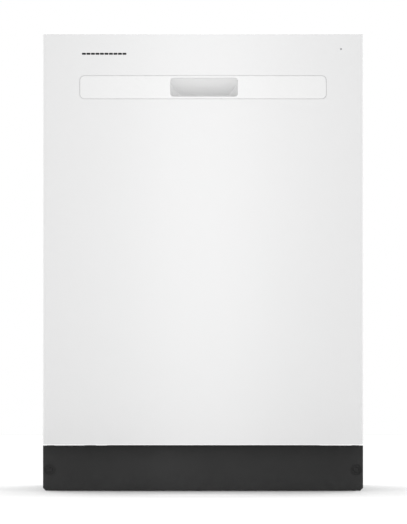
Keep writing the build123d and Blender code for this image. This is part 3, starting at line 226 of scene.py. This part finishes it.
def tub_plastic():
    """Grey polypropylene with flecks and a fine spark texture."""
    made = Surface("tub_plastic", (0.38, 0.39, 0.405), 0.42, drift=0.03, grain=0.18, grain_scale=1700.0,
                   depth=0.0003)
    return made.speckle(420.0, 0.16, (0.24, 0.25, 0.26)).finish()


def grey_plastic(name, colour):
    """Satin moulded plastic."""
    made = Surface(name, colour, 0.46, drift=0.05, grain=0.2, grain_scale=1600.0, depth=0.0003)
    return made.finish()


def black_plastic():
    """Dark plastic with a moulded grain."""
    made = Surface("black_plastic", (0.022, 0.022, 0.024), 0.48, drift=0.1, grain=0.3, grain_scale=1500.0,
                   depth=0.0003)
    return made.finish()


def galvanised():
    """Zinc-coated sheet: crystals of different brightness, and dust low down."""
    made = Surface("galvanised", (0.4, 0.41, 0.42), 0.38, metallic=0.92, drift=0.06, grain=0.1, polish=0.08)
    cells = add(made.tree, "TexVoronoi", {"Vector": made.place, "Scale": 85.0}).outputs["Color"]
    crystal = add(made.tree, "SeparateColor", {"Color": cells}).outputs[0]
    made.paint(made.spread(crystal, 0.0, 0.35, 0.2, 0.9), (0.55, 0.57, 0.59))
    made.roughen(made.spread(crystal, 0.0, 0.6, 0.0, 1.0), 0.58)
    return made.dust(20 * MM, 80 * MM, (0.25, 0.235, 0.21), 0.5).finish()


def brushed(name, colour, roughness, stretch):
    """Steel with drawn lines."""
    return Surface(name, colour, roughness, metallic=1.0, drift=0.07, grain=0.25, grain_scale=500.0,
                   depth=0.0002, stretch=stretch, polish=0.07).finish()


def heater_steel():
    """Sheathed element with brown heat tint and pale scale."""
    made = Surface("heater_steel", (0.3, 0.27, 0.24), 0.45, metallic=0.85, drift=0.25, patch=40.0, grain=0.2)
    scale = made.spread(made.noise(120.0, 6.0), 0.0, 0.6, 0.52, 0.66)
    return made.paint(scale, (0.55, 0.53, 0.5)).roughen(scale, 0.8).finish()


def rubber(name, colour):
    """Soft rubber with a pale bloom."""
    made = Surface(name, colour, 0.62, drift=0.12, patch=30.0, grain=0.3, grain_scale=900.0, depth=0.0003)
    bloom = made.spread(made.noise(40.0, 5.0), 0.0, 0.25, 0.5, 0.75)
    return made.paint(bloom, (0.2, 0.2, 0.2)).finish()


def rack_vinyl():
    """Nylon-coated wire: smooth, with thicker runs of coating."""
    made = Surface("rack_vinyl", (0.42, 0.44, 0.47), 0.28, drift=0.06, patch=60.0, grain=0.08,
                   grain_scale=350.0, depth=0.0004, coat=0.4)
    return made.finish()


def blanket():
    """Black bitumen-backed felt: matted fibres, creases and a pale bloom."""
    made = Surface("blanket", (0.028, 0.028, 0.03), 0.88, drift=0.3, patch=14.0, grain=0.8,
                   grain_scale=700.0, depth=0.0006)
    fibres = add(made.tree, "Mapping", {"Vector": made.place, "Scale": (1.0, 0.12, 1.0)}).outputs[0]
    lint = made.spread(made.noise(900.0, 6.0, fibres), 0.0, 0.5, 0.56, 0.7)
    made.emboss(made.noise(160.0, 7.0), 0.6, 0.0012)
    made.shader.inputs["Sheen Weight"].default_value = 0.25
    return made.paint(lint, (0.13, 0.13, 0.135)).finish()


def fibre_pad():
    """Grey cotton shoddy with coloured fibres."""
    made = Surface("fibre_pad", (0.33, 0.33, 0.34), 0.95, drift=0.25, patch=60.0, grain=0.9,
                   grain_scale=500.0, depth=0.001)
    made.speckle(300.0, 0.2, (0.08, 0.12, 0.25))
    return made.emboss(made.noise(90.0, 8.0), 0.8, 0.002).finish()


def foil_tape():
    """Aluminium tape, creased."""
    made = Surface("foil_tape", (0.52, 0.53, 0.54), 0.27, metallic=1.0, drift=0.05, grain=0.3,
                   grain_scale=220.0, depth=0.0006, polish=0.1)
    return made.finish()


def zinc_thread():
    """Zinc-plated steel with fine thread ridges."""
    made = Surface("zinc_thread", (0.6, 0.6, 0.58), 0.33, metallic=1.0, drift=0.08, polish=0.08)
    return made.bands(1.5 * MM, "Z", 0.6, 0.0005).finish()


def strap_cord():
    """Plied black nylon."""
    made = Surface("strap_cord", (0.03, 0.03, 0.03), 0.7, drift=0.2, patch=200.0, grain=0.4)
    return made.bands(2.2 * MM, "DIAGONAL", 0.9, 0.0008).finish()


def light_pipe():
    """Frosted clear plastic over a dark inside."""
    made = Surface("light_pipe", (0.34, 0.35, 0.36), 0.35, drift=0.05, patch=400.0, grain=0.1)
    made.shader.inputs["Transmission Weight"].default_value = 0.15
    return made.finish()


def print_grey():
    """Printing ink."""
    return Surface("print_grey", (0.2, 0.21, 0.22), 0.55, drift=0.1, patch=300.0, grain=0.1).finish()


FINISHES = {
    "door_white": door_white(),
    "insert_white": insert_white(),
    "strip_white": Surface("strip_white", (0.8, 0.8, 0.8), 0.35, drift=0.02, grain=0.12).finish(),
    "button_white": Surface("button_white", (0.7, 0.7, 0.71), 0.32, drift=0.02, grain=0.12).finish(),
    "kick_black": kick_black(),
    "tub_plastic": tub_plastic(),
    "grey_plastic": grey_plastic("grey_plastic", (0.27, 0.28, 0.29)),
    "arm_plastic": grey_plastic("arm_plastic", (0.36, 0.37, 0.39)),
    "basket_plastic": grey_plastic("basket_plastic", (0.42, 0.43, 0.45)),
    "dispenser_grey": grey_plastic("dispenser_grey", (0.29, 0.3, 0.32)),
    "cap_blue_grey": grey_plastic("cap_blue_grey", (0.16, 0.22, 0.32)),
    "white_plastic": grey_plastic("white_plastic", (0.72, 0.72, 0.69)),
    "black_plastic": black_plastic(),
    "galvanised": galvanised(),
    "stainless": brushed("stainless", (0.58, 0.58, 0.57), 0.28, (1.0, 0.05, 1.0)),
    "bright_steel": brushed("bright_steel", (0.62, 0.62, 0.6), 0.25, (0.08, 1.0, 1.0)),
    "spring_steel": brushed("spring_steel", (0.2, 0.2, 0.21), 0.35, (1.0, 0.2, 1.0)),
    "heater_steel": heater_steel(),
    "seal_rubber": rubber("seal_rubber", (0.07, 0.07, 0.075)),
    "hose_rubber": rubber("hose_rubber", (0.03, 0.03, 0.032)),
    "rack_vinyl": rack_vinyl(),
    "blanket": blanket(),
    "fibre_pad": fibre_pad(),
    "strap_nylon": strap_cord(),
    "light_pipe": light_pipe(),
    "foil_tape": foil_tape(),
    "zinc_thread": zinc_thread(),
    "print_grey": print_grey(),
}


def dress_nodes():
    """Gives every node of the frame the finish of its material slot."""
    for part in frame["record"]["subparts"]:
        shown = frame["nodes"][part["node"]]
        finish = "zinc_thread" if part["node"].startswith("leg_") else part["material_slot"]
        shown.data.materials.clear()
        shown.data.materials.append(FINISHES[finish])


# ================================================================ mesh helpers
def piece(name, mesh, finish, body, smooth=True):
    """A mesh object with its finish, on its body."""
    made = bpy.data.objects.new(name, mesh)
    bpy.context.scene.collection.objects.link(made)
    mesh.materials.append(FINISHES[finish])
    for face in mesh.polygons:
        face.use_smooth = smooth
    if body:
        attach(made, body)
    return made


def loft(bm, rings):
    """Faces between rings of vertices that all have the same count, with a cap at each end."""
    made = [[bm.verts.new(point) for point in ring] for ring in rings]
    count = len(made[0])
    for low, high in zip(made, made[1:]):
        for i in range(count):
            j = (i + 1) % count
            bm.faces.new((low[i], low[j], high[j], high[i]))
    bm.faces.new(list(reversed(made[0])))
    bm.faces.new(made[-1])


def mesh_from(name, build):
    """A mesh from a function that fills a bmesh."""
    bm = bmesh.new()
    build(bm)
    bmesh.ops.recalc_face_normals(bm, faces=bm.faces)
    mesh = bpy.data.meshes.new(name)
    bm.to_mesh(mesh)
    bm.free()
    return mesh


def tube_rings(points, radius, sides):
    """Rings of a round tube that follows points, turned as little as possible from one to the next."""
    rings = []
    side = None
    for i, point in enumerate(points):
        ahead = points[min(i + 1, len(points) - 1)] - points[max(i - 1, 0)]
        ahead.normalize()
        side = side or ahead.orthogonal()
        side = (side - ahead * side.dot(ahead)).normalized()
        other = ahead.cross(side)
        ring = []
        for k in range(sides):
            angle = 2 * math.pi * k / sides
            ring.append(point + radius * (math.cos(angle) * side + math.sin(angle) * other))
        rings.append(ring)
    return rings


# ================================================================ springs and their cords
SPRING_TURNS = 26
SPRING_COIL = 4.0 * MM  # radius of the coil's centre line
SPRING_WIRE = 1.15 * MM  # radius of the wire
SPRING_TUBE = 5.2 * MM  # radius of the CAD spring
SPRING_HOOK = 14 * MM  # length of the CAD spring's hook
SPRING_RUN = (-120 * MM, 20 * MM)  # y and z from the back of the coil to its front
CORD_RADIUS = 1.3 * MM
STRAP_HALF = 1.4 * MM  # half of the CAD strap's thickness


def spring_path(front, back):
    """A hook, the close-wound coil and a second hook, as points."""
    run = (back - front).normalized()
    side = run.orthogonal().normalized()
    up = run.cross(side)
    points = [front - run * reach for reach in (7 * MM, 3 * MM)]
    steps_per_turn, eased_steps = 14, 10
    steps = SPRING_TURNS * steps_per_turn
    length = (back - front).length
    for i in range(steps + 1):
        angle = 2 * math.pi * SPRING_TURNS * i / steps
        ease = min(1.0, i / eased_steps, (steps - i) / eased_steps)
        reach = SPRING_COIL * ease
        centre = front + run * length * i / steps
        points.append(centre + reach * (math.cos(angle) * side + math.sin(angle) * up))
    return points + [back + run * reach for reach in (4 * MM, 13 * MM)]


def springs_and_cords():
    """Wound extension springs and the cords that tie them to the hinge levers."""
    low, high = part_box("door_springs")
    strap_low, strap_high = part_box("spring_straps")
    x = strap_high.x - STRAP_HALF
    slope = math.atan2(SPRING_RUN[1], -SPRING_RUN[0])
    back = Vector((x, high.y - SPRING_HOOK * math.cos(slope), low.z + SPRING_TUBE))
    front = back + Vector((0, *SPRING_RUN))
    lever = Vector((x, strap_low.y + 0.6 * MM, strap_high.z - STRAP_HALF))
    eye = front - (back - front).normalized() * 8 * MM
    for name, sign in (("left", -1), ("right", 1)):
        points = [Vector((p.x * sign, p.y, p.z)) for p in spring_path(front, back)]
        mesh = mesh_from("spring", lambda bm: loft(bm, tube_rings(points, SPRING_WIRE, 8)))
        spring = piece(f"door_spring_{name}", mesh, "spring_steel", "chassis")
        steps = 60
        cord = [lever.lerp(eye, i / steps) for i in range(steps + 1)]
        cord = [Vector((p.x * sign, p.y, p.z)) for p in cord]
        mesh = mesh_from("cord", lambda bm: loft(bm, tube_rings(cord, CORD_RADIUS, 12)))
        strap = piece(f"spring_cord_{name}", mesh, "strap_nylon", None)
        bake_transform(strap)
        if sign > 0:
            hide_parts("door_springs")
            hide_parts("spring_straps")


# ================================================================ blanket and pads
FELT = 8 * MM  # from the tub's wall to the outside of the CAD wrap
FELT_EDGE = 1.2 * MM  # thickness at the blanket's hem
FELT_GAP = 0.1 * MM  # from the tub's wall to the felt
WRAP_RADIUS = 30.5 * MM  # bend over the tub's top edges
BLANKET_DEPTH = 500 * MM
TAPES = (WRAP_LOW.y + 165 * MM, WRAP_LOW.y + 335 * MM)
TAPE_HALF = 20 * MM
TAPE_FOOT = 30 * MM  # how far each tape ends above the blanket's hem
TAPE_FACES = (0.1 * MM, 0.5 * MM)  # the tape's inner and outer face above the felt
PAD_RIM = 0.45  # a pad's thickness at its rim, as a share of its box


def puff(point, seed, scale=9.0):
    """A broad unevenness between 0 and 1."""
    return 0.5 + 0.5 * noise.noise(point * scale + Vector((seed, 0.0, 0.0)))


def felt_thickness(point):
    """How thick the blanket is at a point: uneven, and pressed flatter under each tape."""
    loose = 4.4 + 2.0 * puff(point, 3.1) + 1.0 * puff(point, 9.4, 40.0)
    reach = 1.15 * TAPE_HALF
    pressed = sum(1.6 / (1 + ((point.y - tape) / reach) ** 8) for tape in TAPES)
    return (loose - pressed) * MM


def wrap_outline(bottom, count):
    """Points from the left foot over the tub to the right foot, with their outward directions."""
    half, top, radius = WRAP_HIGH.x - FELT, WRAP_HIGH.z - FELT, WRAP_RADIUS
    straight = top - radius - bottom
    across = 2 * (half - radius)
    arc = math.pi / 2 * radius
    total = 2 * straight + across + 2 * arc
    found = []
    for i in range(count + 1):
        s = total * i / count
        mirrored = s > total / 2
        s = total - s if mirrored else s
        if s < straight:
            x, z, nx, nz = -half, bottom + s, -1.0, 0.0
        elif s < straight + arc:
            angle = (s - straight) / radius
            nx, nz = -math.cos(angle), math.sin(angle)
            x, z = -half + radius + radius * nx, top - radius + radius * nz
        else:
            x, z, nx, nz = -half + radius + s - straight - arc, top, 0.0, 1.0
        side = -1 if mirrored else 1
        found.append((Vector((x * side, 0.0, z)), Vector((nx * side, 0.0, nz))))
    return found


def tub_blanket():
    """The felt blanket: one soft sheet over the sides and top, thinner at its edges."""
    outline = wrap_outline(WRAP_LOW.z, 150)
    rows = 84
    rounded_points, rounded_rows = 3, 2

    def build(bm):
        rings = []
        for i, (point, out) in enumerate(outline):
            from_foot = min(i, len(outline) - 1 - i) / rounded_points
            outer, inner = [], []
            for k in range(rows + 1):
                edge = min(1.0, from_foot, min(k, rows - k) / rounded_rows)
                at = Vector((point.x, WRAP_LOW.y + BLANKET_DEPTH * k / rows, point.z))
                thick = FELT_EDGE + (felt_thickness(at) - FELT_EDGE) * math.sqrt(edge)
                outer.append(at + out * thick)
                inner.append(at + out * FELT_GAP)
            rings.append(outer + inner[::-1])
        loft(bm, rings)

    wrap = piece("tub_blanket", mesh_from("tub_blanket", build), "blanket", "chassis")
    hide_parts("insulation_wrap")


def pad(name, low, high, finish, body, replaces, seed, holes=()):
    """A crowned felt pad that fills a flat upright box, with soft edges and cells left out for holes."""
    across, up = 64, 72
    middle = (low.y + high.y) / 2
    half = (high.y - low.y) / 2

    def cell_open(i, k):
        x = low.x + (high.x - low.x) * (i + 0.5) / across
        z = low.z + (high.z - low.z) * (k + 0.5) / up
        return not any(a < x < b and c < z < d for a, b, c, d in holes)

    def depth(i, k):
        beside = [cell_open(i - a, k - b) for a in (0, 1) for b in (0, 1)
                  if 0 <= i - a < across and 0 <= k - b < up]
        rim = min(i, across - i, k, up - k) == 0 or not all(beside)
        x = low.x + (high.x - low.x) * i / across
        z = low.z + (high.z - low.z) * k / up
        crown = 0.74 + 0.24 * puff(Vector((x, 0.0, z)), seed)
        return half * (PAD_RIM if rim else crown)

    def build(bm):
        sheets = []
        for side in (-1, 1):
            grid = {}
            for i in range(across + 1):
                for k in range(up + 1):
                    x = low.x + (high.x - low.x) * i / across
                    z = low.z + (high.z - low.z) * k / up
                    grid[i, k] = bm.verts.new((x, middle + side * depth(i, k), z))
            sheets.append(grid)
        for i in range(across):
            for k in range(up):
                if not cell_open(i, k):
                    continue
                corners = ((i, k), (i + 1, k), (i + 1, k + 1), (i, k + 1))
                bm.faces.new([sheets[0][c] for c in corners])
                bm.faces.new([sheets[1][c] for c in reversed(corners)])
                around = ((i, k - 1), (i + 1, k), (i, k + 1), (i - 1, k))
                for n, (a, b) in enumerate(around):
                    if 0 <= a < across and 0 <= b < up and cell_open(a, b):
                        continue
                    p, q = corners[n], corners[(n + 1) % 4]
                    bm.faces.new((sheets[0][p], sheets[0][q], sheets[1][q], sheets[1][p]))
        loose = [v for v in bm.verts if not v.link_faces]
        bmesh.ops.delete(bm, geom=loose, context="VERTS")

    made = piece(name, mesh_from(name, build), finish, body)
    if replaces:
        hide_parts(replaces)


def rear_mat():
    """The felt mat on the tub's back."""
    half = WRAP_HIGH.x - 28.5 * MM
    low = Vector((-half, WRAP_HIGH.y - FELT, 165 * MM))
    high = Vector((half, WRAP_HIGH.y, WRAP_HIGH.z - 35 * MM))
    pad("rear_mat", low, high, "blanket", "chassis", None, 4.0)


def door_pad():
    """The fibre pad inside the door, cut out round the dispenser."""
    low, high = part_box("door_insulation")
    cut_low, cut_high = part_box("dispenser")
    margin = 8 * MM
    hole = (cut_low.x - margin, cut_high.x + margin, cut_low.z - margin, cut_high.z + margin)
    pad("door_pad", low, high, "fibre_pad", "door", "door_insulation", 7.0, holes=(hole,))


def foil_strips():
    """Two tapes that hold the blanket, pressed on to it."""
    outline = wrap_outline(WRAP_LOW.z + TAPE_FOOT, 240)
    columns = 10
    for number, tape in enumerate(TAPES):
        def build(bm):
            rings = []
            for point, out in outline:
                outer, inner = [], []
                for k in range(columns + 1):
                    at = Vector((point.x, tape + TAPE_HALF * (2 * k / columns - 1), point.z))
                    lift = felt_thickness(at)
                    inner.append(at + out * (lift + TAPE_FACES[0]))
                    outer.append(at + out * (lift + TAPE_FACES[1]))
                rings.append(outer + inner[::-1])
            loft(bm, rings)

        piece(f"blanket_tape_{number + 1}", mesh_from("tape", build), "foil_tape", "chassis")


# ================================================================ fixings and print
def screw(bm, centre, axis, radius, height):
    """A domed head with a six-lobed recess. Its profile is in shares of its radius and height."""
    axis = Vector(axis).normalized()
    turn = axis.to_track_quat("Z", "Y").to_matrix()
    steps = 24
    profile = ((1.0, -0.3), (1.0, 0.15), (0.93, 0.5), (0.74, 0.8), (0.5, 0.97))
    rings = []
    for reach, rise in profile:
        rings.append([(reach * radius, 2 * math.pi * k / steps, rise * height) for k in range(steps)])
    lobes = [0.36 + 0.07 * math.cos(6 * 2 * math.pi * k / steps) for k in range(steps)]
    for rise in (0.96, 0.25):
        rings.append([(lobes[k] * radius, 2 * math.pi * k / steps, rise * height) for k in range(steps)])
    loft(bm, [[Vector(centre) + turn @ Vector((r * math.cos(a), r * math.sin(a), z)) for r, a, z in ring]
              for ring in rings])


def fixings(name, places, axis, radius, height, finish, body):
    """One object that holds a set of equal screws."""

    def build(bm):
        for place in places:
            screw(bm, place, axis, radius, height)

    piece(name, mesh_from(name, build), finish, body, smooth=False)


def liner_screws():
    """Screws round the edge of the inner door."""
    x = LINER_HIGH.x - 14 * MM
    z_low, z_high = LINER_LOW.z + 60 * MM, LINER_HIGH.z - 22 * MM
    gaps = 5
    heights = [z_low + (z_high - z_low) * i / gaps for i in range(gaps + 1)]
    places = [(side * x, LINER_HIGH.y, z) for side in (-1, 1) for z in heights]
    fixings("liner_screws", places, (0, 1, 0), 3.6 * MM, 1.5 * MM, "bright_steel", "door")


def frame_rivets():
    """Rivets where the side frames meet the tub's flange and the channels."""
    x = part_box("side_frames")[1].x - 0.1 * MM
    rows = {-236 * MM: (160, 215, 46), 296 * MM: (37, 190, 225)}
    for side, name in ((-1, "left"), (1, "right")):
        places = [(side * x, y, z * MM) for y, heights in rows.items() for z in heights]
        fixings(f"frame_rivets_{name}", places, (side, 0, 0), 3.4 * MM, 1.2 * MM, "bright_steel", "chassis")


def button_marks():
    """One to four printed dots and a line behind each button."""
    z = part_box("control_strip")[1].z
    names = [n for n in frame["nodes"] if n.startswith("button_")]
    dot_pitch = 2.6 * MM

    def bar(bm, x, y, wide, deep):
        ring = [(x - wide, y - deep), (x + wide, y - deep), (x + wide, y + deep), (x - wide, y + deep)]
        loft(bm, [[(px, py, z + rise) for px, py in ring] for rise in (0.005 * MM, 0.06 * MM)])

    def build(bm):
        for number, name in enumerate(sorted(names)):
            corner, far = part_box(name)
            x = (corner.x + far.x) / 2
            y = far.y + 3.4 * MM
            for k in range(number + 1):
                bar(bm, x + (k - number / 2) * dot_pitch, y, 0.8 * MM, 0.9 * MM)
            bar(bm, x, y + 3.2 * MM, 5.0 * MM, 0.35 * MM)

    mesh = mesh_from("button_marks", build)
    piece("button_marks", mesh, "print_grey", "door", smooth=False)


# ================================================================ stage, light and camera
def floor():
    """A plain pale floor without shine."""
    surface = Surface("floor_white", (0.56, 0.56, 0.56), 0.6, drift=0.0, grain=0.02, grain_scale=60.0)
    surface.shader.inputs["Specular IOR Level"].default_value = 0.0
    bm = bmesh.new()
    bmesh.ops.create_grid(bm, x_segments=1, y_segments=1, size=FLOOR_HALF)
    mesh = bpy.data.meshes.new("floor")
    bm.to_mesh(mesh)
    bm.free()
    mesh.materials.append(surface.finish())
    made = bpy.data.objects.new("floor", mesh)
    bpy.context.scene.collection.objects.link(made)


def area_light(name, place, target, size, power):
    """A rectangular lamp that faces its target."""
    lamp = bpy.data.lights.new(name, "AREA")
    lamp.shape = "RECTANGLE"
    lamp.size, lamp.size_y = size
    lamp.energy = power
    made = bpy.data.objects.new(name, lamp)
    made.location = place
    made.rotation_euler = (Vector(target) - Vector(place)).to_track_quat("-Z", "Y").to_euler()
    bpy.context.scene.collection.objects.link(made)


def white_world():
    """An even white surrounding."""
    world = bpy.data.worlds.new("studio")
    world.use_nodes = True
    background = world.node_tree.nodes["Background"]
    background.inputs["Color"].default_value = (1, 1, 1, 1)
    background.inputs["Strength"].default_value = 1.0
    bpy.context.scene.world = world


def overhead_sun():
    """Soft light from above and behind, so that the machine shades the floor in front of it."""
    sun = bpy.data.lights.new("overhead", "SUN")
    sun.energy = SUN_STRENGTH
    sun.angle = SUN_ANGLE
    made = bpy.data.objects.new("overhead", sun)
    made.rotation_euler = (-SUN_TILT, 0, 0)
    bpy.context.scene.collection.objects.link(made)


def lights():
    """A strip before the door, a low one at its foot, one on each side, and the light from above."""
    white_world()
    middle = 0.56
    area_light("front_strip", (0, -0.66, middle), (0, DOOR_LOW.y, middle), (0.2, 1.2), 0.57)
    area_light("floor_bounce", (0, -0.46, 0.03), (0, DOOR_LOW.y, 0.12), (0.4, 0.04), 0.035)
    overhead_sun()
    for side in (-1, 1):
        area_light("side", (side * 1.1, 0.25, 0.6), (0, 0.25, 0.6), (0.9, 1.4), 5)


def camera():
    """A long lens square to the door."""
    data = bpy.data.cameras.new("camera")
    data.sensor_width = SENSOR
    data.lens = SENSOR * CAMERA_DISTANCE / VIEW_HEIGHT
    data.clip_end = 100
    made = bpy.data.objects.new("camera", data)
    made.location = (VIEW_CENTRE[0], DOOR_LOW.y - CAMERA_DISTANCE, VIEW_CENTRE[1])
    made.rotation_euler = (math.pi / 2, 0, 0)
    scene = bpy.context.scene
    scene.collection.objects.link(made)
    scene.camera = made
    scene.view_settings.view_transform = "Standard"


dress_nodes()
springs_and_cords()
tub_blanket()
foil_strips()
rear_mat()
door_pad()
liner_screws()
frame_rivets()
button_marks()
floor()
lights()
camera()
